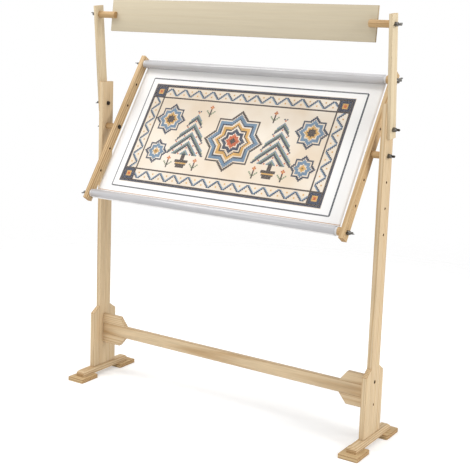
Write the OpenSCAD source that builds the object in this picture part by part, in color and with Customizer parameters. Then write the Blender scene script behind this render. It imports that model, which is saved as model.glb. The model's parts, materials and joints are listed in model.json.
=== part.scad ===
// Floor-standing embroidery frame in pine. Two feet, two uprights and a stretcher carry a
// tilting roller frame with stretched cloth, and a chart board swings on two arms above it.
// Millimetres. X runs to the sitter's right, Y to the back and Z up. The origin is on the
// floor, midway between the four pads.

/* [Stand] */
// Clear width between the two uprights
span_in = 800; // [600:10:1000]
// Thickness of the pine board used for uprights, cheeks and stretcher
post_t = 12; // [10:1:16]
// Depth of an upright, front to back
post_d = 42; // [36:1:56]
// Height of the uprights' tops above the floor
post_top = 800; // [740:10:900]
// Depth of an upright's lower section, over both cheeks
lower_d = 90; // [70:2:110]
// Height at which a cheek's outer edge starts to slope in
cheek_top = 175; // [150:5:220]
// Height of the sloping shoulder on a cheek
cheek_rise = 16; // [8:1:24]

/* [Holes in the uprights] */
// Distance from an upright's top to its first hole
hole_drop = 57; // [45:1:65]
// Distance from hole to hole down an upright
hole_pitch = 60; // [54:1:66]
// Number of holes in an upright
hole_count = 5; // [3:1:6]

/* [Feet] */
// Width of a floor pad
pad_w = 50; // [40:1:64]
// Length of a floor pad, front to back
pad_l = 65; // [50:1:84]
// Thickness of a floor pad
pad_h = 10; // [6:1:14]
// Corner radius of a floor pad
pad_r = 3; // [1:0.5:8]
// Overall depth of a foot, over both pads
foot_spread = 225; // [210:5:320]
// Width of a foot bar
foot_w = 24; // [20:1:34]
// Height of a foot bar
foot_h = 15; // [12:1:22]
// Distance from a pad's outer end to the bar's end
foot_inset = 20; // [8:1:26]
// Bevel at the top of a foot bar's ends
foot_bevel = 6; // [2:0.5:8]
// Bevel along the top edges of a foot bar
foot_edge = 3.5; // [1:0.5:5]

/* [Stretcher] */
// Height of the stretcher bar's section
bar_h = 30; // [22:1:38]
// Height of the stretcher's centre line above the floor
bar_z = 127; // [112:1:140]
// Height of a glued block above or below the bar's end
block_h = 25; // [20:1:32]
// Length of a block at its free edge
block_l = 57; // [44:1:80]
// Extra length of a block where it meets the bar
block_slope = 20; // [6:1:30]

/* [Arms and chart board] */
// Thickness of a swinging arm
arm_t = 8; // [6:0.5:12]
// Depth of a swinging arm
arm_d = 30; // [24:1:38]
// Length of an arm above its bolt
arm_above = 255; // [240:5:300]
// Length of an arm below its bolt
arm_below = 21; // [15:1:30]
// Lean of the arms towards the sitter, in degrees
arm_lean = 5.5; // [-10:0.5:20]
// Distance from an arm's top to the board dowel's centre
dowel_drop = 23; // [16:1:30]
// Diameter of a board dowel
board_dowel_d = 17; // [16:1:26]
// Height of the chart board
board_h = 81; // [60:1:96]
// Thickness of the chart board
board_t = 5; // [3:0.5:6]
// Gap between the chart board's end and an arm
board_gap = 37; // [25:1:48]
// Length over which a dowel overlaps the chart board
board_lap = 16; // [10:1:28]
// Lean of the chart board's top away from the sitter, in degrees
board_lean = 6; // [0:1:20]

/* [Tilting frame] */
// Tilt of the frame's top away from the sitter, from upright, in degrees
tilt = 33; // [0:1:60]
// Length of the round spacer between an upright and a side bar
spacer_l = 27; // [22:1:36]
// Diameter of that spacer
spacer_d = 16; // [14:1:24]
// Thickness of a side bar
side_t = 12; // [9:1:16]
// Depth of a side bar
side_d = 23; // [20:1:30]
// Distance from hole to hole along a side bar
side_pitch = 65; // [56:1:67]
// Length of a side bar beyond its last hole
side_end = 19; // [15:1:24]

/* [Rollers and cloth] */
// Outer diameter of a roller tube
tube_d = 20; // [17:0.5:21]
// Wall of a roller tube
tube_wall = 2; // [1:0.25:2.5]
// Visible length of the hub at a roller's right end
hub_l = 10; // [6:1:16]
// Depth to which a plug reaches into a tube
plug_in = 30; // [28:1:50]
// Thickness of the snap-on clip over a tube
clip_t = 0.8; // [0.7:0.1:1.6]
// Angle that a clip wraps round its tube, in degrees
clip_wrap = 220; // [190:5:250]
// Turn of a clip from the front towards the cloth, in degrees
clip_turn = 35; // [20:1:36]
// Distance from a tube's end to the cloth and its clip
cloth_inset = 5; // [2:1:30]
// Thickness of the cloth
cloth_t = 0.8; // [0.5:0.1:1.2]

/* [Fasteners] */
// Diameter of the bolts and studs
bolt_d = 6; // [5:0.5:8]
// Width of a bolt head across its flats
head_flats = 10; // [10:0.5:13]
// Thickness of a bolt head
head_h = 4; // [3:0.5:5.5]
// Length of a bolt or board stud beyond the piece it clamps
bolt_tip = 16; // [14:0.5:20]
// Length of a roller's stud beyond its side bar
roller_tip = 14; // [13:0.5:18]
// Depth to which a stud is screwed into wood
stud_in = 25; // [15:1:26]
// Diameter of a wing nut's base
nut_base_d = 11; // [10:0.5:14]
// Diameter of a wing nut's hub at its outer end
nut_nose_d = 9; // [8.5:0.25:10]
// Height of a wing nut's hub
nut_hub_h = 8; // [6:0.5:9]
// Span over a wing nut's wings
nut_span = 26; // [24:0.5:30]
// Height over a wing nut's wings
nut_h = 13; // [12:0.5:15]
// Thickness of a wing
nut_wing_t = 2; // [1.5:0.25:3]

/* [Clearances] */
// Radial clearance between a bolt or stud and its hole
hole_clear = 0.08; // [0.04:0.01:0.1]
// Gap between a round piece's end and the wood that turns against it
rub_clear = 0.05; // [0.03:0.01:0.2]
// Radial gap between a tube and its clip, where the cloth is held
clip_gap = 0.3; // [0.2:0.05:0.5]
// Gap between the cloth's end and the circle that a clip turns in
cloth_clear = 0.5; // [0.3:0.1:1]

/* [Hidden] */

$fn = 64;
PINE = [0.86, 0.75, 0.58];
PINE_DARK = [0.78, 0.64, 0.45];
BOARD = [0.83, 0.77, 0.66];
TUBE = [0.78, 0.78, 0.78];
CLOTH = [0.95, 0.94, 0.92];
STEEL = [0.25, 0.25, 0.26];
FRONT = -1;
BACK = 1;
LEFT = -1;
RIGHT = 1;
TOP = 1;
LOW = -1;

hole_d = bolt_d + 2 * hole_clear;
post_in = span_in / 2;
post_out = post_in + post_t;
post_x = (post_in + post_out) / 2;
wood_z = pad_h + foot_h;
eps = 0.01;

// Screws and pins that hide in the stand's joints
screw_d = 4;
screw_head_d = 8;
screw_head_h = 3;
screw_l = 45;
screw_y = 12;
bolt_recess_d = 9;
bolt_recess = 5;
bolt_cap_d = 8.6;
bolt_cap_h = 3;
bolt_key_d = 4.6;
knock_in = 1.5;
dowel_pin_l = 50;
stretcher_bolt_l = 42;
block_z = bar_h / 2 + block_h / 2;

// Heights of the two bolted holes in each upright
arm_z = post_top - hole_drop;
pivot_z = arm_z - hole_pitch;

// Chart board, measured from its dowels' axis
dowel_s = arm_above - dowel_drop;
board_half = post_out - board_gap;
dowel_end = board_half - board_lap;
board_face = board_dowel_d / 4;

// Tilting frame, measured from its pivot
side_out = post_in - spacer_l;
side_in = side_out - side_t;
side_holes = 5;
roller_s = side_pitch * (side_holes + 1) / 2;
side_half = roller_s + side_end;
tube_right = side_in - hub_l;
clip_in_r = tube_d / 2 + clip_gap;
clip_out_r = clip_in_r + clip_t;
cloth_left = cloth_inset - side_in;
cloth_right = tube_right - cloth_inset;
cloth_y = tube_d / 2;
cloth_half_l = roller_s - sqrt(pow(clip_out_r + cloth_clear, 2) - pow(cloth_y, 2));

// Draws its child on the right as it is, and on the left as a mirror image
module on_side(side) {
    if (side == RIGHT) children();
    else mirror([1, 0, 0]) children();
}

// A round bar along X, from x0 to x1
module round_x(x0, x1, d, fn = 64) {
    translate([x0, 0, 0]) rotate([0, 90, 0]) cylinder(h = x1 - x0, d = d, $fn = fn);
}

// A drill through the piece along X
module drill_x(x0, x1, d = hole_d) {
    round_x(x0 - eps, x1 + eps, d);
}

// An outline in Y and Z, drawn out along X from x0 to x1
module plate_x(x0, x1) {
    translate([x0, 0, 0]) rotate([90, 0, 90]) linear_extrude(x1 - x0) children();
}

// An outline in X and Z, as thick as the uprights and centred on them
module plate_y(t = post_t) {
    translate([0, t / 2, 0]) rotate([90, 0, 0]) linear_extrude(t) children();
}

module rounded_rect(w, l, r) {
    square([w - 2 * r, l], center = true);
    square([w, l - 2 * r], center = true);
    for (x = [-1, 1], y = [-1, 1]) translate([x * (w / 2 - r), y * (l / 2 - r)]) circle(r);
}

// Places for what swings: the arms, the board on its dowels, and the frame
module in_arms() {
    translate([0, 0, arm_z]) rotate([arm_lean, 0, 0]) children();
}

module at_board() {
    in_arms() translate([0, 0, dowel_s]) rotate([-arm_lean - board_lean, 0, 0]) children();
}

module in_frame() {
    translate([0, 0, pivot_z]) rotate([-tilt, 0, 0]) children();
}

module at_roller(level) {
    in_frame() translate([0, 0, level * roller_s]) children();
}

// Feet
module pad(side, end) {
    y = end * (foot_spread - pad_l) / 2;
    color(PINE) translate([side * post_x, y, 0])
        linear_extrude(pad_h) rounded_rect(pad_w, pad_l, pad_r);
}

module foot_bar(side) {
    half_l = foot_spread / 2 - foot_inset;
    half_w = foot_w / 2;
    long_outline = [[-half_l, 0], [half_l, 0], [half_l, foot_h - foot_bevel],
        [half_l - foot_bevel, foot_h], [foot_bevel - half_l, foot_h], [-half_l, foot_h - foot_bevel]];
    end_outline = [[-half_w, 0], [half_w, 0], [half_w, foot_h - foot_edge],
        [half_w - foot_edge, foot_h], [foot_edge - half_w, foot_h], [-half_w, foot_h - foot_edge]];
    color(PINE) translate([side * post_x, 0, pad_h]) difference() {
        intersection() {
            plate_x(-half_w, half_w) polygon(long_outline);
            plate_y(2 * half_l) polygon(end_outline);
        }
        foot_screw_places() {
            translate([0, 0, -eps]) cylinder(h = foot_h + 2 * eps, d = screw_d + 2 * hole_clear);
            translate([0, 0, -eps]) cylinder(h = screw_head_h + eps, d = screw_head_d + 2 * hole_clear);
        }
    }
}

module foot_screw_places() {
    for (y = [-screw_y, screw_y]) translate([0, y, 0]) children();
}

// Countersunk from below, up through the foot bar and into the upright's end
module foot_screws() {
    color(STEEL) for (side = [LEFT, RIGHT]) translate([side * post_x, 0, pad_h]) foot_screw_places() {
        cylinder(h = screw_head_h, d = screw_head_d);
        cylinder(h = screw_l, d = screw_d);
    }
}

// Uprights
module post(side) {
    color(PINE) on_side(side) difference() {
        translate([post_in, -post_d / 2, wood_z]) cube([post_t, post_d, post_top - wood_z]);
        for (i = [0 : hole_count - 1])
            translate([0, 0, arm_z - i * hole_pitch]) drill_x(post_in, post_out);
        translate([0, 0, bar_z - block_z]) drill_x(post_in, post_out);
        translate([0, 0, bar_z + block_z]) drill_x(post_in, post_out);
        translate([0, 0, bar_z + block_z]) drill_x(post_out - bolt_recess, post_out, bolt_recess_d);
        translate([post_x, 0, wood_z]) foot_screw_places()
            translate([0, 0, -eps]) cylinder(h = screw_l - foot_h + 1, d = screw_d + 2 * hole_clear);
    }
}

// A cheek widens the lower part of an upright and slopes in to it at the top
module cheek(side, end) {
    outline = [[post_d / 2, wood_z], [lower_d / 2, wood_z], [lower_d / 2, cheek_top],
        [post_d / 2, cheek_top + cheek_rise]];
    color(PINE_DARK) on_side(side) plate_x(post_in, post_out)
        polygon([for (p = outline) [end * p[0], p[1]]]);
}

// Stretcher
module stretcher_bar() {
    color(PINE) translate([-post_in, -post_t / 2, bar_z - bar_h / 2]) cube([span_in, post_t, bar_h]);
}

module block(side, level) {
    inner = post_in - block_l;
    foot = inner - block_slope;
    low_edge = bar_h / 2;
    high_edge = low_edge + block_h;
    outline = [[post_in, level * low_edge], [foot, level * low_edge], [inner, level * high_edge],
        [post_in, level * high_edge]];
    bore_l = level == TOP ? stretcher_bolt_l + 1 : dowel_pin_l - post_t + knock_in + 1;
    color(PINE_DARK) on_side(side) translate([0, 0, bar_z]) difference() {
        plate_y() polygon(outline);
        translate([0, 0, level * block_z]) drill_x(post_in - bore_l, post_in);
    }
}

// One sunk bolt holds each upper block, and one wooden pin locates each lower block
module stretcher_bolts() {
    seat = post_out - bolt_recess;
    color(STEEL) for (side = [LEFT, RIGHT]) on_side(side) translate([0, 0, bar_z + block_z]) {
        round_x(post_in - stretcher_bolt_l, seat + eps, bolt_d);
        difference() {
            round_x(seat, seat + bolt_cap_h, bolt_cap_d);
            round_x(seat + 1, seat + bolt_cap_h + 1, bolt_key_d, 6);
        }
    }
}

module stretcher_dowels() {
    color(PINE) for (side = [LEFT, RIGHT]) on_side(side) translate([0, 0, bar_z - block_z])
        round_x(post_out - knock_in - dowel_pin_l, post_out - knock_in, bolt_d);
}

// Bolts, spacers and wing nuts
module hex_bolt(face, tip) {
    color(STEEL) {
        translate([face - head_h, 0, 0]) rotate([0, 90, 0])
            cylinder(h = head_h, d = head_flats / cos(30), $fn = 6);
        round_x(face - eps, tip, bolt_d);
    }
}

module arm_bolt(side) {
    on_side(side) translate([0, 0, arm_z]) hex_bolt(post_in, post_out + arm_t + bolt_tip);
}

module pivot_bolt(side) {
    on_side(side) translate([0, 0, pivot_z]) rotate([-tilt, 0, 0])
        hex_bolt(side_in, post_out + bolt_tip);
}

module spacer(side) {
    color(PINE) on_side(side) translate([0, 0, pivot_z]) difference() {
        round_x(side_out + rub_clear, post_in, spacer_d);
        drill_x(side_out, post_in);
    }
}

// One wing, as an outline in the plane of the nut's axis: across, then up from the base
module wing_outline() {
    lobe_r = 3.4;
    lobe = [nut_span / 2 - lobe_r, nut_h - lobe_r];
    inner = nut_nose_d / 2 - 1;
    translate(lobe) circle(lobe_r);
    polygon([[inner, 1], [nut_base_d / 2 - 0.4, 1],
        [lobe[0] + lobe_r * cos(35), lobe[1] - lobe_r * sin(35)],
        [lobe[0] - lobe_r * cos(55), lobe[1] + lobe_r * sin(55)], [inner, nut_hub_h]]);
}

// A wing nut seated on a face at x, its wings turned by an angle about the bolt
module wing_nut(x, turn) {
    color(STEEL) translate([x, 0, 0]) rotate([turn, 0, 0]) rotate([0, 90, 0]) difference() {
        union() {
            cylinder(h = nut_hub_h, d1 = nut_base_d, d2 = nut_nose_d);
            for (a = [0, 180]) rotate([90, 0, a]) translate([0, 0, -nut_wing_t / 2])
                linear_extrude(nut_wing_t) wing_outline();
        }
        translate([0, 0, -eps]) cylinder(h = nut_h + 1, d = hole_d);
    }
}

module arm_nut(side, turn) {
    on_side(side) translate([0, 0, arm_z]) wing_nut(post_out + arm_t, turn);
}

module pivot_nut(side, turn) {
    on_side(side) translate([0, 0, pivot_z]) wing_nut(post_out, turn);
}

module board_nut(side, turn) {
    at_board() on_side(side) wing_nut(post_out + arm_t, turn);
}

module roller_nut(side, level, turn) {
    at_roller(level) on_side(side) wing_nut(side_out, turn);
}

// Arms and chart board
module arm(side) {
    color(PINE) in_arms() on_side(side) difference() {
        translate([post_out, -arm_d / 2, -arm_below]) cube([arm_t, arm_d, arm_above + arm_below]);
        drill_x(post_out, post_out + arm_t);
        translate([0, 0, dowel_s]) drill_x(post_out, post_out + arm_t);
    }
}

module chart_board() {
    color(BOARD) at_board() translate([-board_half, board_face, -board_h / 2])
        cube([2 * board_half, board_t, board_h]);
}

// A dowel with its back cut flat where the board lies against it
module board_dowel(side) {
    color(PINE) at_board() on_side(side) difference() {
        round_x(dowel_end, post_out - rub_clear, board_dowel_d);
        translate([dowel_end - 1, board_face, -board_dowel_d])
            cube([board_lap + 1, board_dowel_d, 2 * board_dowel_d]);
        drill_x(post_out - stud_in, post_out);
    }
}

module board_stud(side) {
    color(STEEL) at_board() on_side(side)
        round_x(post_out - stud_in + 1, post_out + arm_t + bolt_tip, bolt_d);
}

// Tilting frame
module side_bar(side) {
    color(PINE) in_frame() on_side(side) difference() {
        translate([side_in, -side_d / 2, -side_half]) cube([side_t, side_d, 2 * side_half]);
        for (i = [0 : side_holes + 1])
            translate([0, 0, roller_s - i * side_pitch]) drill_x(side_in, side_out);
    }
}

module cloth() {
    color(CLOTH) in_frame() translate([cloth_left, cloth_y, -cloth_half_l])
        cube([cloth_right - cloth_left, cloth_t, 2 * cloth_half_l]);
}

module tube(level) {
    color(TUBE) at_roller(level) difference() {
        round_x(-side_in, tube_right, tube_d);
        drill_x(-side_in, tube_right, tube_d - 2 * tube_wall);
    }
}

// The clip is a split ring with rounded lips, and it holds the cloth's end against the tube
module clip(level) {
    mid_r = (clip_in_r + clip_out_r) / 2;
    open_half = (360 - clip_wrap) / 2 + asin(clip_t / 2 / mid_r);
    far = 3 * tube_d;
    side_ray = [far * cos(open_half), far * sin(open_half)];
    color(TUBE) at_roller(level) rotate([level * clip_turn, 0, 0]) plate_x(cloth_left, cloth_right) {
        difference() {
            circle(clip_out_r);
            circle(clip_in_r);
            polygon([[0, 0], side_ray, [far, side_ray[1]], [far, -side_ray[1]],
                [side_ray[0], -side_ray[1]]]);
        }
        for (end = [-1, 1]) rotate(end * open_half) translate([mid_r, 0]) circle(clip_t / 2);
    }
}

// The left plug ends flush with its tube, and the right one shows a hub
module plug(side, level) {
    core_d = tube_d - 2 * tube_wall;
    shown = side == RIGHT ? hub_l : 0;
    color(PINE) at_roller(level) on_side(side) difference() {
        union() {
            round_x(side_in - shown - plug_in, side_in, core_d);
            if (side == RIGHT) round_x(side_in - shown, side_in, tube_d);
        }
        drill_x(side_in - stud_in, side_in);
    }
}

module roller_studs(level) {
    color(STEEL) for (side = [LEFT, RIGHT]) at_roller(level) on_side(side)
        round_x(side_in - stud_in + 1, side_out + roller_tip, bolt_d);
}

pad(LEFT, FRONT);  // left_front_pad
pad(LEFT, BACK);  // left_rear_pad
pad(RIGHT, FRONT);  // right_front_pad
pad(RIGHT, BACK);  // right_rear_pad
foot_bar(LEFT);  // left_foot_bar
foot_bar(RIGHT);  // right_foot_bar
foot_screws();
post(LEFT);  // left_post
post(RIGHT);  // right_post
cheek(LEFT, FRONT);  // left_front_cheek
cheek(LEFT, BACK);  // left_rear_cheek
cheek(RIGHT, FRONT);  // right_front_cheek
cheek(RIGHT, BACK);  // right_rear_cheek
stretcher_bar();
block(LEFT, TOP);  // left_upper_block
block(LEFT, LOW);  // left_lower_block
block(RIGHT, TOP);  // right_upper_block
block(RIGHT, LOW);  // right_lower_block
stretcher_bolts();
stretcher_dowels();
arm_bolt(LEFT);  // left_arm_bolt
arm_bolt(RIGHT);  // right_arm_bolt
pivot_bolt(LEFT);  // left_pivot_bolt
pivot_bolt(RIGHT);  // right_pivot_bolt
spacer(LEFT);  // left_spacer
spacer(RIGHT);  // right_spacer
arm(LEFT);  // left_arm
arm(RIGHT);  // right_arm
chart_board();
board_dowel(LEFT);  // left_board_dowel
board_dowel(RIGHT);  // right_board_dowel
board_stud(LEFT);  // left_board_stud
board_stud(RIGHT);  // right_board_stud
side_bar(LEFT);  // left_side_bar
side_bar(RIGHT);  // right_side_bar
cloth();
tube(TOP);  // top_tube
clip(TOP);  // top_clip
plug(LEFT, TOP);  // top_left_plug
plug(RIGHT, TOP);  // top_right_plug
roller_studs(TOP);  // top_roller_studs
tube(LOW);  // low_tube
clip(LOW);  // low_clip
plug(LEFT, LOW);  // low_left_plug
plug(RIGHT, LOW);  // low_right_plug
roller_studs(LOW);  // low_roller_studs
arm_nut(LEFT, 95);  // left_arm_nut
arm_nut(RIGHT, 85);  // right_arm_nut
board_nut(LEFT, 75);  // left_board_nut
board_nut(RIGHT, 110);  // right_board_nut
pivot_nut(LEFT, 105);  // left_pivot_nut
pivot_nut(RIGHT, 90);  // right_pivot_nut
roller_nut(LEFT, TOP, 115);  // top_left_nut
roller_nut(RIGHT, TOP, 150);  // top_right_nut
roller_nut(LEFT, LOW, 130);  // low_left_nut
roller_nut(RIGHT, LOW, 103);  // low_right_nut
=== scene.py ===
import json
import math
import random

import bmesh
import bpy
from mathutils import Matrix, Vector


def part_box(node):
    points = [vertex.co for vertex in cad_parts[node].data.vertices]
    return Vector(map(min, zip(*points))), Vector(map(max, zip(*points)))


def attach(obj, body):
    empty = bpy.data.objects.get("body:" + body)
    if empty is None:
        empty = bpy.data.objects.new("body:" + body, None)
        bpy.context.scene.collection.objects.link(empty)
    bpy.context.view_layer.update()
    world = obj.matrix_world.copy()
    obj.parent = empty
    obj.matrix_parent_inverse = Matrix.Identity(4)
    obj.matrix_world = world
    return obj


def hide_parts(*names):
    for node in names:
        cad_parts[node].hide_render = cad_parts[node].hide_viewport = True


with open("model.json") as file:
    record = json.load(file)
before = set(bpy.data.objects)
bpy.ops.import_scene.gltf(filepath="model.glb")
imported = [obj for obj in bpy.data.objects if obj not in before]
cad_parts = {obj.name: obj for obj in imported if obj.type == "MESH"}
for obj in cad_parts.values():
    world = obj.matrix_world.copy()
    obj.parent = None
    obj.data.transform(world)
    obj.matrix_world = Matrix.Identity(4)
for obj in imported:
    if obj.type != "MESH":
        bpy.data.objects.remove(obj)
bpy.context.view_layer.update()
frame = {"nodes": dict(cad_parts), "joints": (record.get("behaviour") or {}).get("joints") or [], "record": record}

# A floor-standing embroidery frame in bare pine: two footed uprights and a stretcher, a tilting
# pair of rollers that keep a cloth taut, and a chart board on two swinging arms.
# Lengths are metres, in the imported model's own frame.

MM = 0.001
PITCH = 0.00363          # one cross stitch of the needlework, over two squares of the cloth
BOARD_LEAN = 6           # degrees that the chart board's top leans away from the sitter
SIDES = ("left", "right")
ENDS = ("front", "rear")
ROLLERS = (("top", 1), ("low", -1))     # each roller, and which way it lies from the cloth's middle


# Places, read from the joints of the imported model

joint_place = {joint["name"]: Vector(joint["pos_m"]) for joint in frame["joints"] if "pos_m" in joint}


def stood_at(origin, up):
    """The frame of a part that stands at origin, with X across and Z along up."""
    up = up.normalized()
    back = up.cross(Vector((1, 0, 0)))
    turn = Matrix((Vector((1, 0, 0)), back, up)).transposed()
    return Matrix.Translation(origin) @ turn.to_4x4()


UP = Vector((0, 0, 1))
top_roller_at = joint_place["top_roller_turn"]
low_roller_at = joint_place["low_roller_turn"]
in_stand = Matrix.Identity(4)
in_frame = stood_at(joint_place["frame_tilt"], top_roller_at - low_roller_at)
in_arms = stood_at(joint_place["arms_swing"], joint_place["board_tilt"] - joint_place["arms_swing"])
board_up = Vector((0, math.sin(math.radians(BOARD_LEAN)), math.cos(math.radians(BOARD_LEAN))))
in_board = stood_at(joint_place["board_tilt"], board_up)
in_roller = {"top": stood_at(top_roller_at, in_frame.to_3x3() @ UP),
             "low": stood_at(low_roller_at, in_frame.to_3x3() @ UP)}
roller_reach = (top_roller_at - low_roller_at).length / 2


# Colours and nodes

def srgb(code):
    """A hex colour as the linear values that Blender's sockets hold."""
    parts = [int(code[i:i + 2], 16) / 255 for i in (1, 3, 5)]
    linear = [c / 12.92 if c <= 0.04045 else ((c + 0.055) / 1.055) ** 2.4 for c in parts]
    return (*linear, 1)


def grey(value):
    """A linear grey, for the factors that a colour is multiplied by."""
    return (value, value, value, 1)


def feed(tree, node, inputs):
    """Links each socket among the inputs to the node, and sets anything else as a value."""
    for name, value in inputs.items():
        if isinstance(value, bpy.types.NodeSocket):
            tree.links.new(value, node.inputs[name])
        else:
            node.inputs[name].default_value = value


def add(tree, kind, inputs=None, stops=(), **settings):
    """Adds a node with its settings, its inputs and, where it has a colour ramp, the ramp's stops."""
    node = tree.nodes.new(kind)
    for name, value in settings.items():
        setattr(node, name, value)
    feed(tree, node, inputs or {})
    if stops:
        elements = node.color_ramp.elements
        while len(elements) < len(stops):
            elements.new(0.5)
        for element, (place, colour) in zip(elements, stops):
            element.position = place
            element.color = colour
    return node


MIXED = {"data_type": "RGBA"}                                   # settings for a mix of two colours
MULTIPLIED = {"data_type": "RGBA", "blend_type": "MULTIPLY"}    # and for one colour times another
EDGE_LINE, HOLE_SHADE = 0.5, 1                                   # values of the wood's attribute for its darker rounded edges, and for the painted shade inside its holes


def wave_scale(spacing):
    """The scale at which a wave texture, which turns 20 radians a metre at scale 1, has this spacing."""
    return 2 * math.pi / (20 * spacing)


def new_material(name):
    """A material with its tree and its shader, ready for the finish's own nodes."""
    material = bpy.data.materials.new(name)
    material.use_nodes = True
    return material, material.node_tree, material.node_tree.nodes["Principled BSDF"]


# Finishes. A noise's scale is about one over the width of its broadest blotches, in metres.

def planed_pine(name, pale, amber, ring=5 * MM, latewood=0.55, fibre=0.16):
    """Pine, sawn and planed, left bare: pale earlywood, amber latewood lines along it, dry and dull."""
    material, tree, shader = new_material(name)
    log = add(tree, "ShaderNodeAttribute", attribute_name="in_the_log").outputs["Vector"]
    # The trunk's rings wander by a few millimetres over a hand's width, and slowly along its length
    slow = add(tree, "ShaderNodeMapping", {"Vector": log, "Scale": (1, 1, 0.1)}).outputs["Vector"]
    wander = add(tree, "ShaderNodeTexNoise", {"Vector": slow, "Scale": 14, "Detail": 2}).outputs["Color"]
    centred = add(tree, "ShaderNodeVectorMath", {0: wander, 1: (0.5, 0.5, 0.5)}, operation="SUBTRACT")
    scaled = add(tree, "ShaderNodeVectorMath", {0: centred.outputs[0], "Scale": 9 * MM}, operation="SCALE")
    wandered = add(tree, "ShaderNodeVectorMath", {0: log, 1: scaled.outputs[0]}, operation="ADD").outputs[0]
    # Ring spacing is drawn a little coarser than the real 2 to 4 mm, so that it shows at this distance
    rings = add(tree, "ShaderNodeTexWave", {"Vector": wandered, "Scale": wave_scale(ring)},
                wave_type="RINGS", rings_direction="Z", wave_profile="SIN").outputs["Fac"]
    lines = add(tree, "ShaderNodeValToRGB", {"Fac": rings},
                stops=[(0.35, grey(0)), (0.8, grey(0.6)), (1.0, grey(1))]).outputs["Color"]
    # Fibres are drawn a millimetre or two wide, so that they show, and several centimetres long
    along_it = add(tree, "ShaderNodeMapping", {"Vector": log, "Scale": (1, 1, 0.025)}).outputs["Vector"]
    fibres = add(tree, "ShaderNodeTexNoise", {"Vector": along_it, "Scale": 550, "Detail": 3}).outputs["Fac"]
    # Streaks a centimetre or two wide, where one part of the trunk is warmer than the next
    broad = add(tree, "ShaderNodeMapping", {"Vector": log, "Scale": (1, 1, 0.05)}).outputs["Vector"]
    streaks = add(tree, "ShaderNodeTexNoise", {"Vector": broad, "Scale": 70, "Detail": 2}).outputs["Fac"]
    depth = add(tree, "ShaderNodeMath", {0: lines, 1: latewood}, operation="MULTIPLY").outputs[0]
    streaked = add(tree, "ShaderNodeMapRange", {"Value": streaks, "From Min": 0.35, "From Max": 0.75,
                                               "To Min": 0.35, "To Max": 1.15}).outputs["Result"]
    amount = add(tree, "ShaderNodeMath", {0: depth, 1: streaked}, operation="MULTIPLY").outputs[0]
    wood = add(tree, "ShaderNodeMix", {"Factor": amount, "A": srgb(pale), "B": srgb(amber)},
               **MIXED).outputs["Result"]
    fine = add(tree, "ShaderNodeValToRGB", {"Fac": fibres},
               stops=[(0.3, grey(1 - fibre)), (0.7, grey(1.04))]).outputs["Color"]
    fibred = add(tree, "ShaderNodeMix", {"Factor": 1.0, "A": wood, "B": fine},
                 **MULTIPLIED).outputs["Result"]
    # Sawn ends drink in the light: a shade darker, and freckled with pores, drawn coarse so that they show
    sawn = add(tree, "ShaderNodeAttribute", attribute_name="end_grain").outputs["Fac"]
    pores = add(tree, "ShaderNodeTexNoise", {"Vector": log, "Scale": 900, "Detail": 1}).outputs["Fac"]
    freckled = add(tree, "ShaderNodeValToRGB", {"Fac": pores},
                   stops=[(0.35, (0.72, 0.62, 0.5, 1)), (0.65, (0.92, 0.86, 0.77, 1))]).outputs["Color"]
    ends = add(tree, "ShaderNodeMix", {"Factor": sawn, "A": fibred, "B": freckled},
               **MULTIPLIED).outputs["Result"]
    # Sanded corners are drawn as a thin darker line, and drilled holes are painted dark inside: painted shade
    # where little light reaches
    wear_and_shade = add(tree, "ShaderNodeAttribute", attribute_name="wear_and_shade").outputs["Fac"]
    darker = add(tree, "ShaderNodeValToRGB", {"Fac": wear_and_shade},
                 stops=[(0, grey(1)), (EDGE_LINE, (0.62, 0.5, 0.38, 1)),
                        (HOLE_SHADE, (0.2, 0.14, 0.08, 1))]).outputs["Color"]
    edged = add(tree, "ShaderNodeMix", {"Factor": 1.0, "A": ends, "B": darker},
                **MULTIPLIED).outputs["Result"]
    rough = add(tree, "ShaderNodeMapRange", {"Value": fibres, "To Min": 0.52, "To Max": 0.7})
    relief = add(tree, "ShaderNodeMath", {0: fibres, 1: lines}, operation="ADD").outputs[0]
    bump = add(tree, "ShaderNodeBump", {"Height": relief, "Strength": 0.35, "Distance": 0.2 * MM})
    feed(tree, shader, {"Base Color": edged, "Roughness": rough.outputs["Result"],
                        "Normal": bump.outputs["Normal"], "Specular IOR Level": 0.35})
    return material


def extruded_pvc(name, colour, roughness):
    """Grey PVC, extruded and left with its own skin: even, slightly waxy, with faint die lines along it."""
    material, tree, shader = new_material(name)
    place = add(tree, "ShaderNodeTexCoord").outputs["Object"]
    # Die lines run the whole length, about a millimetre apart
    long = add(tree, "ShaderNodeMapping", {"Vector": place, "Scale": (0.01, 1, 1)}).outputs["Vector"]
    lines = add(tree, "ShaderNodeTexNoise", {"Vector": long, "Scale": 900, "Detail": 2}).outputs["Fac"]
    # The grey clouds a little over a hand's width
    cloudy = add(tree, "ShaderNodeTexNoise", {"Vector": place, "Scale": 12, "Detail": 1}).outputs["Fac"]
    shade = add(tree, "ShaderNodeValToRGB", {"Fac": cloudy},
                stops=[(0.3, grey(0.96)), (0.7, grey(1.02))]).outputs["Color"]
    tinted = add(tree, "ShaderNodeMix", {"Factor": 1.0, "A": srgb(colour), "B": shade}, **MULTIPLIED)
    rough = add(tree, "ShaderNodeMapRange", {"Value": lines, "To Min": roughness - 0.05,
                                            "To Max": roughness + 0.08})
    bump = add(tree, "ShaderNodeBump", {"Height": lines, "Strength": 0.15, "Distance": 0.05 * MM})
    feed(tree, shader, {"Base Color": tinted.outputs["Result"], "Roughness": rough.outputs["Result"],
                        "Normal": bump.outputs["Normal"], "IOR": 1.53})
    return material


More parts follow.
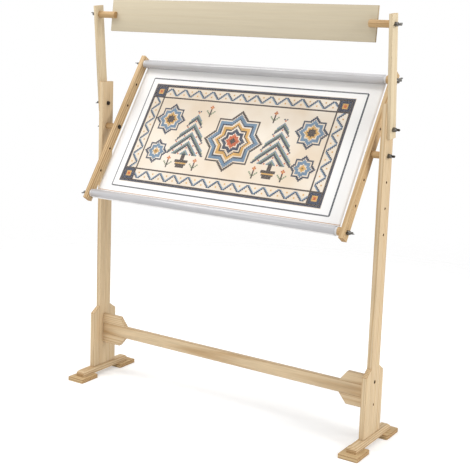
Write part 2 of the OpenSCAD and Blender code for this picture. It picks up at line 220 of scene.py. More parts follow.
def plated_steel(name, colour, roughness):
    """Zinc-plated steel, gone dull or blackened: softly shiny, with a fine grainy skin and slight wear."""
    material, tree, shader = new_material(name)
    place = add(tree, "ShaderNodeTexCoord").outputs["Object"]
    # The zinc's grain is drawn at half a millimetre, coarser than the real one, so that it shows
    grain = add(tree, "ShaderNodeTexNoise", {"Vector": place, "Scale": 1600, "Detail": 2}).outputs["Fac"]
    # Handling has worn places a few millimetres across
    wear_and_shade = add(tree, "ShaderNodeTexNoise", {"Vector": place, "Scale": 180, "Detail": 2}).outputs["Fac"]
    shade = add(tree, "ShaderNodeValToRGB", {"Fac": wear_and_shade},
                stops=[(0.35, grey(0.75)), (0.7, grey(1.25))]).outputs["Color"]
    plated = add(tree, "ShaderNodeMix", {"Factor": 1.0, "A": srgb(colour), "B": shade}, **MULTIPLIED)
    rough = add(tree, "ShaderNodeMapRange", {"Value": grain, "To Min": roughness - 0.08,
                                            "To Max": roughness + 0.12})
    bump = add(tree, "ShaderNodeBump", {"Height": grain, "Strength": 0.3, "Distance": 0.05 * MM})
    feed(tree, shader, {"Base Color": plated.outputs["Result"], "Roughness": rough.outputs["Result"],
                        "Normal": bump.outputs["Normal"], "Metallic": 1.0})
    return material


SHADOW_LINE = 18.5 * MM     # height above the lower roller's axis of a tan line painted on the cloth: painted shadow where the cloth meets the roller


def evenweave_cotton(name, picture):
    """Bleached cotton evenweave, dull and slightly fuzzy, its ground printed beige under the needlework."""
    material, tree, shader = new_material(name)
    flat = add(tree, "ShaderNodeAttribute", attribute_name="on_the_cloth").outputs["Vector"]
    across = add(tree, "ShaderNodeSeparateXYZ", {"Vector": flat})
    # Threads cross in squares of half a stitch
    thread = wave_scale(PITCH / 2)
    warp = add(tree, "ShaderNodeTexWave", {"Vector": flat, "Scale": thread}, wave_type="BANDS",
               bands_direction="X").outputs["Fac"]
    weft = add(tree, "ShaderNodeTexWave", {"Vector": flat, "Scale": thread}, wave_type="BANDS",
               bands_direction="Y").outputs["Fac"]
    weave = add(tree, "ShaderNodeMath", {0: warp, 1: weft}, operation="MAXIMUM").outputs[0]
    inside = []
    for axis, half in zip("XY", picture):
        off = add(tree, "ShaderNodeMath", {0: across.outputs[axis]}, operation="ABSOLUTE").outputs[0]
        inside.append(add(tree, "ShaderNodeMath", {0: off, 1: half}, operation="LESS_THAN").outputs[0])
    printed = add(tree, "ShaderNodeMath", {0: inside[0], 1: inside[1]}, operation="MULTIPLY").outputs[0]
    # The printed ground drifts from warm beige to pale sand over a hand's length
    cloudy = add(tree, "ShaderNodeTexNoise", {"Vector": flat, "Scale": 7, "Detail": 3}).outputs["Fac"]
    ground = add(tree, "ShaderNodeValToRGB", {"Fac": cloudy},
                 stops=[(0.35, srgb("#EAE0D2")), (0.65, srgb("#E0CFB9"))]).outputs["Color"]
    cotton = add(tree, "ShaderNodeMix", {"Factor": printed, "A": srgb("#F1F0EF"), "B": ground},
                 **MIXED).outputs["Result"]
    # A tan line is painted on the cloth just above the lower roller, with soft edges: painted shadow along the gap
    # between cloth and roller
    from_line = add(tree, "ShaderNodeMath", {0: across.outputs["Y"], 1: roller_reach - SHADOW_LINE},
                    operation="ADD").outputs[0]
    off_line = add(tree, "ShaderNodeMath", {0: from_line}, operation="ABSOLUTE").outputs[0]
    on_shadow_line = add(tree, "ShaderNodeMapRange", {"Value": off_line, "From Min": 0.6 * MM,
                                              "From Max": 1.1 * MM, "To Min": 1,
                                              "To Max": 0}).outputs["Result"]
    shadow_lined = add(tree, "ShaderNodeMix", {"Factor": on_shadow_line, "A": cotton, "B": srgb("#C8A283")},
                **MIXED).outputs["Result"]
    gaps = add(tree, "ShaderNodeValToRGB", {"Fac": weave},
               stops=[(0.0, grey(0.88)), (0.45, grey(1))]).outputs["Color"]
    woven = add(tree, "ShaderNodeMix", {"Factor": 1.0, "A": shadow_lined, "B": gaps}, **MULTIPLIED)
    bump = add(tree, "ShaderNodeBump", {"Height": weave, "Strength": 0.4, "Distance": 0.15 * MM})
    feed(tree, shader, {"Base Color": woven.outputs["Result"], "Normal": bump.outputs["Normal"],
                        "Roughness": 0.9, "Specular IOR Level": 0.2, "Sheen Weight": 0.15})
    return material


def cotton_floss(name, colour):
    """Six-strand mercerised cotton, twisted: a soft gloss, with the strands' twist across each stitch."""
    material, tree, shader = new_material(name)
    place = add(tree, "ShaderNodeTexCoord").outputs["Object"]
    # Strands lie under a millimetre apart, and the dye took unevenly over half a dozen stitches
    strands = add(tree, "ShaderNodeTexNoise", {"Vector": place, "Scale": 1400, "Detail": 1}).outputs["Fac"]
    dyed = add(tree, "ShaderNodeTexNoise", {"Vector": place, "Scale": 45, "Detail": 1}).outputs["Fac"]
    shade = add(tree, "ShaderNodeValToRGB", {"Fac": dyed},
                stops=[(0.3, grey(0.85)), (0.7, grey(1.12))]).outputs["Color"]
    tinted = add(tree, "ShaderNodeMix", {"Factor": 1.0, "A": srgb(colour), "B": shade}, **MULTIPLIED)
    bump = add(tree, "ShaderNodeBump", {"Height": strands, "Strength": 0.5, "Distance": 0.1 * MM})
    feed(tree, shader, {"Base Color": tinted.outputs["Result"], "Normal": bump.outputs["Normal"],
                        "Roughness": 0.6, "Sheen Weight": 0.2})
    return material


post_pine = planed_pine("post_pine", "#D6BF9B", "#AF8550", latewood=0.7)
foot_pine = planed_pine("foot_pine", "#D0B893", "#A0784B", latewood=0.85)
pad_pine = planed_pine("pad_pine", "#C6AB80", "#8F6638", latewood=0.9)
stretcher_pine = planed_pine("stretcher_pine", "#D6BE9A", "#AC8554", latewood=0.7)
arm_pine = planed_pine("arm_pine", "#D9C7A6", "#C2A171", latewood=0.45)
side_bar_pine = planed_pine("side_bar_pine", "#CBAE84", "#96692F", latewood=0.85)
dowel_wood = planed_pine("dowel_wood", "#C2A173", "#9A7042", ring=4 * MM)
board_ply = planed_pine("board_ply", "#C5B9A0", "#B9A98A", ring=14 * MM, latewood=0.2, fibre=0.03)
tube_pvc = extruded_pvc("tube_pvc", "#D0D0D1", 0.3)
clip_pvc = extruded_pvc("clip_pvc", "#B9B8BA", 0.15)
black_zinc = plated_steel("black_zinc", "#3E3A36", 0.4)
dull_zinc = plated_steel("dull_zinc", "#6A6865", 0.25)


# Mesh helpers

WELD = 0.002 * MM                   # vertices that lie closer than this are made one
SAME_PLANE = math.radians(0.4)      # and so are faces that turn less than this
FLAT = 0.005                        # radians: an edge that turns less is shaded flat
HOLLOW = 0.02                       # radians: an inward edge that turns more is hollow


def shown(mesh, name, body, slot, *materials):
    """A piece of the model from a bmesh, riding on its body."""
    data = bpy.data.meshes.new(name)
    mesh.to_mesh(data)
    mesh.free()
    for material in materials:
        data.materials.append(material)
    piece = bpy.data.objects.new(name, data)
    bpy.context.scene.collection.objects.link(piece)
    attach(piece, body)
    return piece


def skin(mesh, rows, closed=True):
    """Faces from each row of vertices to the next, and where closed, from each row's end to its start."""
    faces = []
    for first, second in zip(rows, rows[1:]):
        for i in range(len(first) if closed else len(first) - 1):
            j = (i + 1) % len(first)
            faces.append(mesh.faces.new((first[i], first[j], second[j], second[i])))
    return faces


def ring_round_x(mesh, x, radii):
    """A ring of vertices round the X axis, evenly spread, each at its own radius."""
    turns = [2 * math.pi * k / len(radii) for k in range(len(radii))]
    return [mesh.verts.new((x, r * math.cos(turn), r * math.sin(turn))) for r, turn in zip(radii, turns)]


def mark_smooth(mesh, turn=24):
    """Shades as round what turns by small angles, and leaves flats flat."""
    limit = math.radians(turn)
    for face in mesh.faces:
        angles = [edge.calc_face_angle(0) for edge in face.edges if len(edge.link_faces) == 2]
        face.smooth = any(FLAT < angle < limit for angle in angles)


def drilled(face):
    """True for the wall of a hole, where the mesh is hollow on both sides of a face."""
    return sum(not edge.is_convex for edge in face.edges if edge.calc_face_angle(0) > HOLLOW) >= 2


def eased(node, ease=0.6 * MM, sharp=28):
    """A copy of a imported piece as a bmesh, its sharp edges rounded as sandpaper leaves them."""
    mesh = bmesh.new()
    mesh.from_mesh(frame["nodes"][node].data)
    bmesh.ops.remove_doubles(mesh, verts=mesh.verts, dist=WELD)
    bmesh.ops.dissolve_limit(mesh, angle_limit=SAME_PLANE, verts=mesh.verts, edges=mesh.edges)
    edges = [edge for edge in mesh.edges if edge.calc_face_angle(0) > math.radians(sharp)]
    # Rounded edges are marked for a thin darker line, and hole walls for painted shade
    wear_and_shade = mesh.faces.layers.float.new("wear_and_shade")
    rounded = bmesh.ops.bevel(mesh, geom=edges, offset=ease, segments=2, profile=0.5, affect="EDGES",
                              clamp_overlap=True)
    for face in rounded["faces"]:
        face[wear_and_shade] = EDGE_LINE
    for face in mesh.faces:
        if drilled(face):
            face[wear_and_shade] = HOLE_SHADE
    mark_smooth(mesh)
    return mesh


def body_of(node):
    """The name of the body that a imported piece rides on."""
    bodies = frame["record"]["behaviour"]["bodies"]
    return next(body for body, nodes in bodies.items() if node in nodes)


def slot_of(node):
    """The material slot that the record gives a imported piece."""
    return next(part["material_slot"] for part in frame["record"]["subparts"] if part["node"] == node)


# Wood

END_FROM = 0.6           # a face shows end grain from this cosine between its normal and the grain


def along(frame_of_part, direction):
    """A frame whose Z runs with the grain, along X, Y or Z of the part's own frame."""
    turns = {"X": Matrix.Rotation(math.pi / 2, 4, "Y"), "Y": Matrix.Rotation(-math.pi / 2, 4, "X"),
             "Z": Matrix.Identity(4)}
    return frame_of_part @ turns[direction]


def wooden(node, finish, grain, ease=0.6 * MM):
    """One wooden piece, cut from its own place in the log, so that no two show the same rings."""
    mesh = eased(node, ease)
    chance = random.Random(node)
    round_the_pith = chance.uniform(0, 2 * math.pi)
    from_the_pith = chance.uniform(45, 80) * MM
    up_the_trunk = chance.uniform(-1, 1)
    tip = Matrix.Rotation(math.radians(chance.uniform(0.25, 0.7)), 4, "X")
    cut = Vector((from_the_pith * math.cos(round_the_pith), from_the_pith * math.sin(round_the_pith),
                  up_the_trunk))
    low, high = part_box(node)
    middle = (low + high) / 2
    to_log = (Matrix.Translation(cut) @ tip @ grain.to_3x3().inverted().to_4x4()
              @ Matrix.Translation(-middle))
    with_grain = grain.to_3x3() @ UP
    in_the_log = mesh.verts.layers.float_vector.new("in_the_log")
    end_grain = mesh.faces.layers.float.new("end_grain")
    for vert in mesh.verts:
        vert[in_the_log] = to_log @ vert.co
    for face in mesh.faces:
        face[end_grain] = max(0, abs(face.normal.dot(with_grain)) - END_FROM) / (1 - END_FROM)
    piece = shown(mesh, node + "_wood", body_of(node), slot_of(node), finish)
    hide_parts(node)


for side in SIDES:
    wooden(f"{side}_post", post_pine, along(in_stand, "Z"))
    wooden(f"{side}_foot_bar", foot_pine, along(in_stand, "Y"))
    for end in ENDS:
        wooden(f"{side}_{end}_pad", pad_pine, along(in_stand, "X"))
        wooden(f"{side}_{end}_cheek", post_pine, along(in_stand, "Z"))
    for level in ("upper", "lower"):
        wooden(f"{side}_{level}_block", stretcher_pine, along(in_stand, "X"))
    wooden(f"{side}_spacer", dowel_wood, along(in_stand, "X"))
    wooden(f"{side}_arm", arm_pine, along(in_arms, "Z"))
    wooden(f"{side}_board_dowel", dowel_wood, along(in_board, "X"))
    wooden(f"{side}_side_bar", side_bar_pine, along(in_frame, "Z"))
    for level, _ in ROLLERS:
        wooden(f"{level}_{side}_plug", dowel_wood, along(in_frame, "X"), ease=0.4 * MM)
wooden("stretcher_bar", stretcher_pine, along(in_stand, "X"))
wooden("chart_board", board_ply, along(in_board, "X"), ease=0.4 * MM)


# Rollers: tube and clip

TUBE_R = 10 * MM
CLIP_IN = 10.3 * MM
CLIP_OUT = 11.1 * MM
CLIP_MIDDLE = (CLIP_OUT + CLIP_IN) / 2
CLIP_WRAP = 220          # degrees that the clip goes round the tube
CLIP_TURN = 35           # degrees that its middle is turned from the sitter towards the cloth's middle


def clip_outline():
    """The clip's section, as (radius, degrees) round the tube: two arcs, with a round lip at each end."""
    half = CLIP_WRAP / 2
    steps = 44
    outer = [(CLIP_OUT, -half + 2 * half * i / steps) for i in range(steps + 1)]
    inner = [(CLIP_IN, half - 2 * half * i / steps) for i in range(steps + 1)]
    lip_r = (CLIP_OUT - CLIP_IN) / 2
    bulge = math.degrees(lip_r / CLIP_MIDDLE)
    lip = [(lip_r * math.cos(math.radians(a)), bulge * math.sin(math.radians(a)))
           for a in (36, 72, 108, 144)]
    outline = [*outer, *[(CLIP_MIDDLE + r, half + a) for r, a in lip],
               *inner, *[(CLIP_MIDDLE - r, -half - a) for r, a in lip]]
    shrink = (half - bulge) / half
    return [(r, a * shrink) for r, a in outline]


def clip(level, sign):
    """A clip is one profile drawn out along the tube, open towards the back where the cloth leaves."""
    low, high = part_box(f"{level}_clip")
    ease = 0.3 * MM
    mesh = bmesh.new()
    rings = []
    for x, inset in ((low.x, -ease), (low.x + ease, 0), (high.x - ease, 0), (high.x, -ease)):
        ring = []
        for r, a in clip_outline():
            eased_r = r + (inset if r > CLIP_MIDDLE else -inset)
            turn = math.radians(180 + a + sign * CLIP_TURN)
            place = in_roller[level] @ Vector((x, eased_r * math.cos(turn), eased_r * math.sin(turn)))
            ring.append(mesh.verts.new(place))
        rings.append(ring)
    skin(mesh, rings)
    mesh.faces.new(rings[0][::-1])
    mesh.faces.new(rings[-1])
    bmesh.ops.recalc_face_normals(mesh, faces=mesh.faces)
    mark_smooth(mesh, turn=50)
    piece = shown(mesh, f"{level}_clip_pvc", f"{level}_roller", "grey_clip", clip_pvc)
    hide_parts(f"{level}_clip")


for level, sign in ROLLERS:
    clip(level, sign)
    tube = shown(eased(f"{level}_tube", 0.4 * MM), f"{level}_tube_pvc", f"{level}_roller",
                 "grey_tube", tube_pvc)
    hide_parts(f"{level}_tube")


# Fasteners

BOLT_HEAD = 4 * MM       # height of a hex bolt's head
STUD_IN_PLUG = 24 * MM   # how far a roller's stud goes into its plug


def threaded(start, end, radius=3 * MM, pitch=1.5 * MM, depth=0.35 * MM):
    """A rod along X, threaded from end to end, with a pitch coarser than the real 1 mm so that it shows."""
    mesh = bmesh.new()
    around = 20
    count = round((end - start) / (pitch / 4))
    rings = []
    for i in range(count + 1):
        x = start + (end - start) * i / count
        chamfer = max(0, 0.8 * MM - (end - x))
        radii = []
        for k in range(around):
            phase = ((x - start) / pitch + k / around) % 1
            groove = depth * (1 - abs(2 * phase - 1))
            radii.append(radius - max(groove, chamfer))
        rings.append(ring_round_x(mesh, x, radii))
    skin(mesh, rings)
    mesh.faces.new(rings[0][::-1])
    mesh.faces.new(rings[-1])
    for face in mesh.faces:
        face.smooth = len(face.verts) == 4
    return mesh


def hex_bolt(seat, tip, flats=10 * MM):
    """A hex bolt along X: a head with a turned bevel on its far side, then a threaded shank to its tip."""
    mesh = threaded(seat, tip)
    corner = flats / 2 / math.cos(math.pi / 6)
    bevel = 0.7 * MM
    section = ((seat, corner), (seat - BOLT_HEAD + bevel, corner), (seat - BOLT_HEAD, corner - 1.2 * bevel))
    rings = [ring_round_x(mesh, x, [r] * 6) for x, r in section]
    skin(mesh, rings)
    mesh.faces.new(rings[0])
    mesh.faces.new(rings[-1])
    return mesh


def wing_nut():
    """A cast wing nut that seats at x = 0: a tapered hub and two ears, blended as a casting is."""
    hub_h, base_r, nose_r, chamfer = 8 * MM, 5.5 * MM, 4.5 * MM, 0.4 * MM
    span, height, thick, lobe = 26 * MM, 13 * MM, 2 * MM, 3.4 * MM
    mesh = bmesh.new()
    section = ((0, base_r - chamfer), (chamfer, base_r),
               (hub_h - chamfer, nose_r), (hub_h, nose_r - chamfer))
    hub = [ring_round_x(mesh, x, [r] * 32) for x, r in section]
    skin(mesh, hub)
    mesh.faces.new(hub[0])
    mesh.faces.new(hub[-1][::-1])
    # An ear starts inside the hub, runs out to its round lobe and comes back to the hub's nose
    foot, root = 1 * MM, nose_r - 1.2 * MM
    lobe_at = Vector((height - lobe, span / 2 - lobe))
    arc = [(lobe_at.x + lobe * math.cos(math.radians(a)), lobe_at.y + lobe * math.sin(math.radians(a)))
           for a in range(-55, 126, 15)]
    outline = [(foot, base_r - 0.5 * MM), *arc[::-1], (hub_h, root), (foot, root)]
    for turn in (0, math.pi):
        rotation = Matrix.Rotation(turn, 3, "X")
        upper, lower = ([mesh.verts.new(rotation @ Vector((x, y, z))) for x, y in outline]
                        for z in (thick / 2, -thick / 2))
        mesh.faces.new(upper)
        mesh.faces.new(lower[::-1])
        skin(mesh, [upper, lower])
    bmesh.ops.recalc_face_normals(mesh, faces=mesh.faces)
    return mesh


def cast(mesh, grain=0.42 * MM):
    """Blends a bmesh's overlapping solids into one skin, as poured metal does."""
    data = bpy.data.meshes.new("casting")
    mesh.to_mesh(data)
    mesh.free()
    blank = bpy.data.objects.new("casting", data)
    bpy.context.scene.collection.objects.link(blank)
    blank.modifiers.new("fuse", "REMESH").voxel_size = grain
    blank.modifiers.new("soften", "SMOOTH").iterations = 3
    blank.modifiers.new("fewer", "DECIMATE").ratio = 0.3
    cooled = bmesh.new()
    cooled.from_object(blank, bpy.context.evaluated_depsgraph_get())
    bpy.data.objects.remove(blank)
    for face in cooled.faces:
        face.smooth = True
    return cooled


def on_side(side):
    """Turns a part that is made for the right side round to the left."""
    return Matrix.Identity(4) if side == "right" else Matrix.Rotation(math.pi, 4, "Z")


def reach_of(node, side):
    """Where a piece on one side starts and ends, counted outwards from the stand's middle."""
    low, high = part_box(node)
    return (low.x, high.x) if side == "right" else (-high.x, -low.x)


def fastener(mesh, at, side, node, finish, made="steel"):
    """Places a fastener that was made along +X at a joint's axis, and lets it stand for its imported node."""
    mesh.transform(at @ on_side(side))
    bmesh.ops.recalc_face_normals(mesh, faces=mesh.faces)
    piece = shown(mesh, f"{node}_{made}", body_of(node), slot_of(node), finish)
    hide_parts(node)


casting = cast(wing_nut())
at_post = Matrix.Translation(joint_place["frame_tilt"])
at_arm = Matrix.Translation(joint_place["arms_swing"])

# Each nut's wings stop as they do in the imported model: (node, axis, degrees that the back wing is raised)
NUTS = (("left_arm_nut", at_arm, 5), ("right_arm_nut", at_arm, -5),
        ("left_board_nut", in_board, -15), ("right_board_nut", in_board, 20),
        ("left_pivot_nut", at_post, 15), ("right_pivot_nut", at_post, 0),
        ("top_left_nut", in_roller["top"], 25), ("top_right_nut", in_roller["top"], 60),
        ("low_left_nut", in_roller["low"], 40), ("low_right_nut", in_roller["low"], 13))
for node, at, turn in NUTS:
    side = "left" if "left" in node else "right"
    seat, _ = reach_of(node, side)
    raised = math.radians(turn if side == "right" else -turn)
    nut = casting.copy()
    nut.transform(Matrix.Translation((seat, 0, 0)) @ Matrix.Rotation(raised, 4, "X"))
    fastener(nut, at, side, node, dull_zinc, made="casting")
casting.free()

for side in SIDES:
    for node, at in ((f"{side}_arm_bolt", at_arm), (f"{side}_pivot_bolt", in_frame)):
        head, tip = reach_of(node, side)
        fastener(hex_bolt(head + BOLT_HEAD, tip), at, side, node, black_zinc)
    node = f"{side}_board_stud"
    fastener(threaded(*reach_of(node, side)), in_board, side, node, dull_zinc)

for level, _ in ROLLERS:
    node = f"{level}_roller_studs"
    _, plug_end = reach_of(f"{level}_right_plug", "right")
    _, tip = reach_of(node, "right")
    mesh = threaded(plug_end - STUD_IN_PLUG, tip)
    twin = mesh.copy()
    twin.transform(on_side("left"))
    left_stud = bpy.data.meshes.new("left_stud")
    twin.to_mesh(left_stud)
    twin.free()
    mesh.from_mesh(left_stud)
    fastener(mesh, in_roller[level], "right", node, dull_zinc)

for node, finish in (("stretcher_bolts", black_zinc), ("foot_screws", dull_zinc)):
    frame["nodes"][node].data.materials.clear()
    frame["nodes"][node].data.materials.append(finish)
wooden("stretcher_dowels", dowel_wood, along(in_stand, "X"), ease=0.5 * MM)


# Cloth

COLUMNS, ROWS = 80, 39       # stitches from the middle to each side
PICTURE = (COLUMNS + 1) * PITCH, (ROWS + 1) * PITCH
PICTURE_X = -9 * MM          # the needlework sits a little left of the stand's middle
CLOTH_T = 0.25 * MM
CLIP_ROOM = 0.2 * MM         # the clips turn freely inside the cloth
CLOTH_R = CLIP_OUT + CLIP_ROOM + CLOTH_T / 2
SLACK = 0.35 * MM            # height of the stretched cloth's ripples
RIPPLE = 120                 # radians of ripple in a metre of its width
DRAWN_IN = 0.003             # share of its width that it loses between the rollers
WOUND = (-20, 205)           # degrees round a roller that its wound piece covers
OVER = 60                    # degrees round a roller where the stretched piece ends
OFF_TUBE = 98                # degrees from which the wound piece lies on the tube
ON_TUBE_R = TUBE_R + 0.02 * MM + CLOTH_T / 2
RISE = 0.85 * MM             # how far the wound piece has risen from the tube by OVER
cotton = evenweave_cotton("evenweave_cotton", PICTURE)


def round_roller(x, s, turn, r):
    """The place of a point that lies turn radians round the roller, at r from its axis."""
    return in_frame @ Vector((x, r * math.cos(turn), math.copysign(roller_reach + r * math.sin(turn), s)))


def on_cloth(x, s, out=0.0):
    """The place of a point of the flat cloth: x across, s up from the middle, out towards the sitter."""
    turn = (abs(s) - roller_reach) / CLOTH_R
    if turn > 0:
        return round_roller(x, s, turn, CLOTH_R - out)
    slack = SLACK * math.sin(x * RIPPLE) * math.cos(s * math.pi / 2 / roller_reach)
    return in_frame @ Vector((x, CLOTH_R - out + slack, s))


def on_tube(x, s):
    """The same for a wound piece: on the tube under the clip, then off its lip to the stretched one."""
    turn = (abs(s) - roller_reach) / CLOTH_R
    share = min(1, max(0, (OFF_TUBE - math.degrees(turn)) / (OFF_TUBE - OVER)))
    rise = RISE * share * share * (3 - 2 * share)
    return round_roller(x, s, turn, ON_TUBE_R + rise)


def woven_piece(name, body, place, courses):
    """One piece of the cloth, its threads across at each s of courses."""
    low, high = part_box("cloth")
    middle, half_w = (low.x + high.x) / 2, (high.x - low.x) / 2
    columns = 96
    mesh = bmesh.new()
    flat = mesh.verts.layers.float_vector.new("on_the_cloth")
    rows = []
    for s in courses:
        # Pulled only lengthways, the cloth draws in a little between the rollers
        drawn = 1 - DRAWN_IN * max(0, math.cos(s * math.pi / 2 / roller_reach))
        row = []
        for i in range(columns + 1):
            x = half_w * (2 * i / columns - 1)
            vert = mesh.verts.new(place(middle + x * drawn, s))
            vert[flat] = Vector((middle + x - PICTURE_X, s, 0))
            row.append(vert)
        rows.append(row)
    for face in skin(mesh, rows, closed=False):
        face.smooth = True
    piece = shown(mesh, name, body, "white_cloth", cotton)
    thickness = piece.modifiers.new("cloth_thickness", "SOLIDIFY")
    thickness.thickness = CLOTH_T
    thickness.offset = 0
    return piece


def round_to(first, last, step=5):
    """The courses of the cloth from first to last degrees round a roller."""
    return [roller_reach + math.radians(turn) * CLOTH_R for turn in range(first, last + 1, step)]


def cloth():
    """The cloth passes behind both rollers and a little over them, and what is wound turns with them."""
    for level, sign in ROLLERS:
        woven_piece(f"{level}_wound_cloth", f"{level}_roller", on_tube,
                    [sign * s for s in round_to(*WOUND)])
    over = round_to(5, OVER)
    flat = [roller_reach * i / 32 for i in range(-32, 33)]
    piece = woven_piece("needlework_cloth", "frame", on_cloth, [-s for s in reversed(over)] + flat + over)
    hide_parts("cloth")


# Needlework: a sampler of common motifs, in stitches counted from its middle

FLOSS = {"navy": "#232F45", "slate": "#67839B", "rust": "#BC5A2E", "ochre": "#CFA055", "umber": "#3A2E29",
         "sage": "#7C8A6C", "mat_line": "#5A5D62", "mat_shade": "#3B4048"}
FLOSS_ORDER = list(FLOSS)
HEART = 99               # stands for any depth, so the band that it ends fills a star's middle
GREAT_STAR = ((1.6, "umber"), (3, None), (5.8, "slate"), (7, "navy"), (8.4, None), (10.6, "ochre"),
              (12, "umber"), (13.6, None), (16.5, "navy"), (18, None), (21, "rust"), (HEART, "umber"))
CORNER_STAR = ((2.2, "navy"), (4.2, "ochre"), (HEART, "rust"))
SMALL_STAR = ((1.6, "navy"), (3, None), (5.4, "slate"), (6.8, None), (8.6, "ochre"), (HEART, "umber"))
BORDER = 10              # stitches from the edge to the border's inner line


def star(dx, dy, size, bands):
    """An eight-pointed star, a square and a diamond laid over each other, in rings of (depth, colour)."""
    depth = size - min(1.42 * max(abs(dx), abs(dy)), abs(dx) + abs(dy))
    return next((colour for limit, colour in bands if depth < limit), None) if depth >= 0 else None


def fir(dx, dy, height):
    """A fir tree in chevrons, over a short trunk and a pot."""
    if dy < 0:
        half = 5 if dy >= -2 else 3.4 + (dy + 6) * 0.3
        return ("ochre" if dy == -3 else "umber") if dy >= -6 and abs(dx) <= half else None
    if dy < 4:
        return "umber" if abs(dx) <= 1 else None
    up = dy - 4
    if up > height or abs(dx) > (height - up) * 0.4 + 1.5:
        return None
    chevron = (up + abs(dx)) % 7
    if chevron == 5 and dx % 5 == 0:
        return "rust"
    return ("navy", "navy", "sage", "slate")[chevron] if chevron < 4 else None


def sprig(dx, dy):
    """A flower of five stitches on a stem with two leaves."""
    if abs(dx) + abs(dy) <= 1:
        return "ochre" if dx == dy == 0 else "rust"
    if dx == 0 and -7 <= dy < 0:
        return "umber"
    return "sage" if abs(dx) == dy + 6 and 0 < abs(dx) <= 3 else None


def border(column, row):
    """A double edge line, a zigzag between small crosses with a star in each corner, and a fine line."""
    in_x, in_y = COLUMNS - abs(column), ROWS - abs(row)
    if min(in_x, in_y) < 2:
        return "umber" if min(in_x, in_y) == 1 else "navy"
    if max(in_x, in_y) <= BORDER:
        return "umber" if max(in_x, in_y) == BORDER else star(in_x - 5.5, in_y - 5.5, 5, CORNER_STAR)
    run, across = (abs(column), in_y) if in_y <= in_x else (abs(row), in_x)
    if 3 <= across <= 8:
        wave = abs(run % 12 - 6)
        if across - 3 in (wave - 1, wave):
            return "slate" if across - 3 == wave else "navy"
        if run % 12 == 0 and across == 4 or run % 12 == 6 and across == 7:
            return "ochre"
    return "umber" if across == BORDER else None


def motif(column, row):
    """The colour of one stitch of the sampler, or None where the ground stays bare."""
    if min(COLUMNS - abs(column), ROWS - abs(row)) <= BORDER:
        return border(column, row)
    side = abs(column)
    return (star(column, row, 23, GREAT_STAR) or fir(side - 35, row + 18, 34)
            or star(side - 57, row - 12, 12, SMALL_STAR) or star(side - 59, row + 14, 9, SMALL_STAR)
            or sprig(side - 46, row + 18) or sprig(side - 26, row - 24) or sprig(side - 24, row + 18))


STRAND = ((0, 0.05), (0.25, 0.8), (0.75, 0.8), (1, 0.05))      # shares of a stitch's run and of its lift
SECTION = ((-1, 0.6), (0, 1.4), (1, 0.6))                      # its edges lie lower than its crown


def stitch(mesh, start, end, width, lift, colour, face_of_cloth=1):
    """One strand of floss on the cloth's front (1) or back (-1), from start to end, arched and round."""
    (x0, s0), (x1, s1) = start, end
    run = Vector((x1 - x0, s1 - s0)).normalized()
    side = Vector((-run.y, run.x)) * width / 2
    rows = []
    for share, height in STRAND:
        x, s = x0 + (x1 - x0) * share, s0 + (s1 - s0) * share
        row = []
        for k, crown in SECTION:
            out = face_of_cloth * (CLOTH_T / 2 + lift * height * crown)
            row.append(mesh.verts.new(on_cloth(x + side.x * k, s + side.y * k, out)))
        rows.append(row)
    for first, second in zip(rows, rows[1:]):
        for k in (0, 1):
            face = mesh.faces.new((first[k], second[k], second[k + 1], first[k + 1]))
            face.smooth = True
            face.material_index = FLOSS_ORDER.index(colour)


def needlework():
    """Cross stitches of a geometric sampler, with a line of backstitch round it."""
    mesh = bmesh.new()
    arm, floss = PITCH * 0.48, PITCH * 0.5
    under, over, behind = 0.45 * MM, 0.75 * MM, 0.4 * MM
    for column in range(-COLUMNS, COLUMNS + 1):
        for row in range(-ROWS, ROWS + 1):
            colour = motif(column, row)
            if colour is None:
                continue
            x, s = PICTURE_X + column * PITCH, row * PITCH
            stitch(mesh, (x - arm, s - arm), (x + arm, s + arm), floss, under, colour)
            stitch(mesh, (x + arm, s - arm), (x - arm, s + arm), floss, over, colour)
            # On the back each cross leaves one upright bar
            bar = x - arm * 0.9
            stitch(mesh, (bar, s - arm), (bar, s + arm), PITCH * 0.45, behind, colour, -1)
    # The line is fine at the left and above, and heavier below and at the right, like the shade of a mat
    left, right, low, high = -318 * MM, 311 * MM, -159.5 * MM, 159.5 * MM
    for start, end, width, colour in (((left, low), (left, high), 2.6 * MM, "mat_line"),
                                      ((left, high), (right, high), 3.6 * MM, "mat_line"),
                                      ((right, high), (right, low), 4.4 * MM, "mat_shade"),
                                      ((right, low), (left, low), 3.6 * MM, "mat_line")):
        start, run = Vector(start), Vector(end) - Vector(start)
        count = round(run.length / PITCH)
        for i in range(count):
            stitch(mesh, start + run * i / count, start + run * (i + 0.94) / count, width, under, colour)
    bmesh.ops.recalc_face_normals(mesh, faces=mesh.faces)
    threads = [cotton_floss(f"floss_{name}", colour) for name, colour in FLOSS.items()]
    shown(mesh, "needlework_stitches", "frame", "white_cloth", *threads)


cloth()
needlework()


# Studio: floor, lamps, world and camera

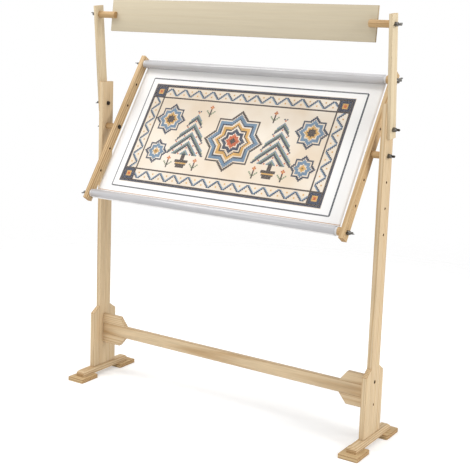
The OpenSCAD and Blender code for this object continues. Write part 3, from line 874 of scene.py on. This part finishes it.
def studio_floor():
    """A pale floor that keeps the object's shadow and fades into the white around it."""
    mesh = bmesh.new()
    bmesh.ops.create_circle(mesh, cap_ends=True, segments=96, radius=4)
    data = bpy.data.meshes.new("studio_floor")
    mesh.to_mesh(data)
    mesh.free()
    floor = bpy.data.objects.new("studio_floor", data)
    bpy.context.scene.collection.objects.link(floor)
    material, tree, shader = new_material("floor_paper")
    place = add(tree, "ShaderNodeTexCoord").outputs["Object"]
    # The paper's fibres clump over a couple of centimetres
    fibres = add(tree, "ShaderNodeTexNoise", {"Vector": place, "Scale": 40, "Detail": 3}).outputs["Fac"]
    paper = add(tree, "ShaderNodeValToRGB", {"Fac": fibres},
                stops=[(0.3, srgb("#F0F0F0")), (0.7, srgb("#F5F5F5"))]).outputs["Color"]
    feed(tree, shader, {"Base Color": paper, "Roughness": 0.9})
    # It is whole up to 0.9 m from the middle and gone at 2.4 m
    away = add(tree, "ShaderNodeVectorMath", {0: place}, operation="LENGTH").outputs["Value"]
    near = add(tree, "ShaderNodeMapRange", {"Value": away, "From Min": 0.9, "From Max": 2.4,
                                           "To Min": 1, "To Max": 0},
               interpolation_type="SMOOTHSTEP").outputs["Result"]
    clear = add(tree, "ShaderNodeBsdfTransparent")
    rays = add(tree, "ShaderNodeLightPath").outputs["Is Camera Ray"]
    glow = add(tree, "ShaderNodeEmission", {"Strength": 0.22})
    lit = add(tree, "ShaderNodeAddShader", {0: shader.outputs[0], 1: glow.outputs[0]})
    seen = add(tree, "ShaderNodeMixShader", {0: rays, 1: shader.outputs[0], 2: lit.outputs[0]})
    faded = add(tree, "ShaderNodeMixShader", {0: near, 1: clear.outputs[0], 2: seen.outputs[0]})
    feed(tree, tree.nodes["Material Output"], {"Surface": faded.outputs[0]})
    data.materials.append(material)


def lamp(name, place, aim_height, size, power):
    """A soft lamp, as wide and as high as size says, that faces a point over the floor's middle."""
    data = bpy.data.lights.new(name, "AREA")
    data.shape = "RECTANGLE"
    data.size, data.size_y = size
    data.energy = power
    light = bpy.data.objects.new(name, data)
    light.location = place
    light.rotation_euler = (Vector((0, 0, aim_height)) - Vector(place)).to_track_quat("-Z", "Y").to_euler()
    bpy.context.scene.collection.objects.link(light)


def white_world():
    """Even light from all round, with a white background where it is seen or mirrored."""
    world = bpy.data.worlds.new("studio")
    world.use_nodes = True
    tree = world.node_tree
    fill = tree.nodes["Background"]
    feed(tree, fill, {"Color": grey(1), "Strength": 0.4})
    backdrop = add(tree, "ShaderNodeBackground", {"Color": grey(1), "Strength": 1.0})
    path = add(tree, "ShaderNodeLightPath").outputs
    seen = add(tree, "ShaderNodeMath", {0: path["Is Camera Ray"], 1: path["Is Glossy Ray"]},
               operation="MAXIMUM").outputs[0]
    seen = add(tree, "ShaderNodeMath", {0: seen, 1: path["Is Transmission Ray"]},
               operation="MAXIMUM").outputs[0]
    both = add(tree, "ShaderNodeMixShader", {0: seen, 1: fill.outputs[0], 2: backdrop.outputs[0]})
    feed(tree, tree.nodes["World Output"], {"Surface": both.outputs[0]})
    bpy.context.scene.world = world


def photographer():
    """The photograph's camera: to the sitter's right, a little above the frame, looking slightly down."""
    data = bpy.data.cameras.new("camera")
    data.sensor_width = 36
    data.lens = 77.535
    data.shift_y = -0.1
    data.clip_start = 0.05
    data.clip_end = 50
    camera = bpy.data.objects.new("camera", data)
    turned, down, rolled = math.radians(32.59), math.radians(9.29), math.radians(2.02)
    looking = Matrix.Rotation(turned, 4, "Z") @ Matrix.Rotation(math.pi / 2 - down, 4, "X")
    aim = looking @ Matrix.Rotation(rolled, 4, "Z")
    camera.matrix_world = Matrix.Translation((1.3354, -2.0748, 0.9658)) @ aim
    bpy.context.scene.collection.objects.link(camera)
    bpy.context.scene.camera = camera


studio_floor()
lamp("key_right", (2.9, -0.05, 1.45), 0.55, (1.7, 1.7), 55)
lamp("over_left", (-1.4, -0.5, 2.5), 0.6, (1.6, 1.6), 34)
lamp("front_fill", (-0.5, -3.1, 1.15), 0.6, (2.2, 1.8), 32)
lamp("over_middle", (0, -0.6, 2.9), 0.6, (2.4, 0.5), 12)
lamp("behind", (0.1, 1.2, 2.8), 0.4, (2.4, 2.4), 12)
white_world()
photographer()
bpy.context.scene.view_settings.view_transform = "Standard"
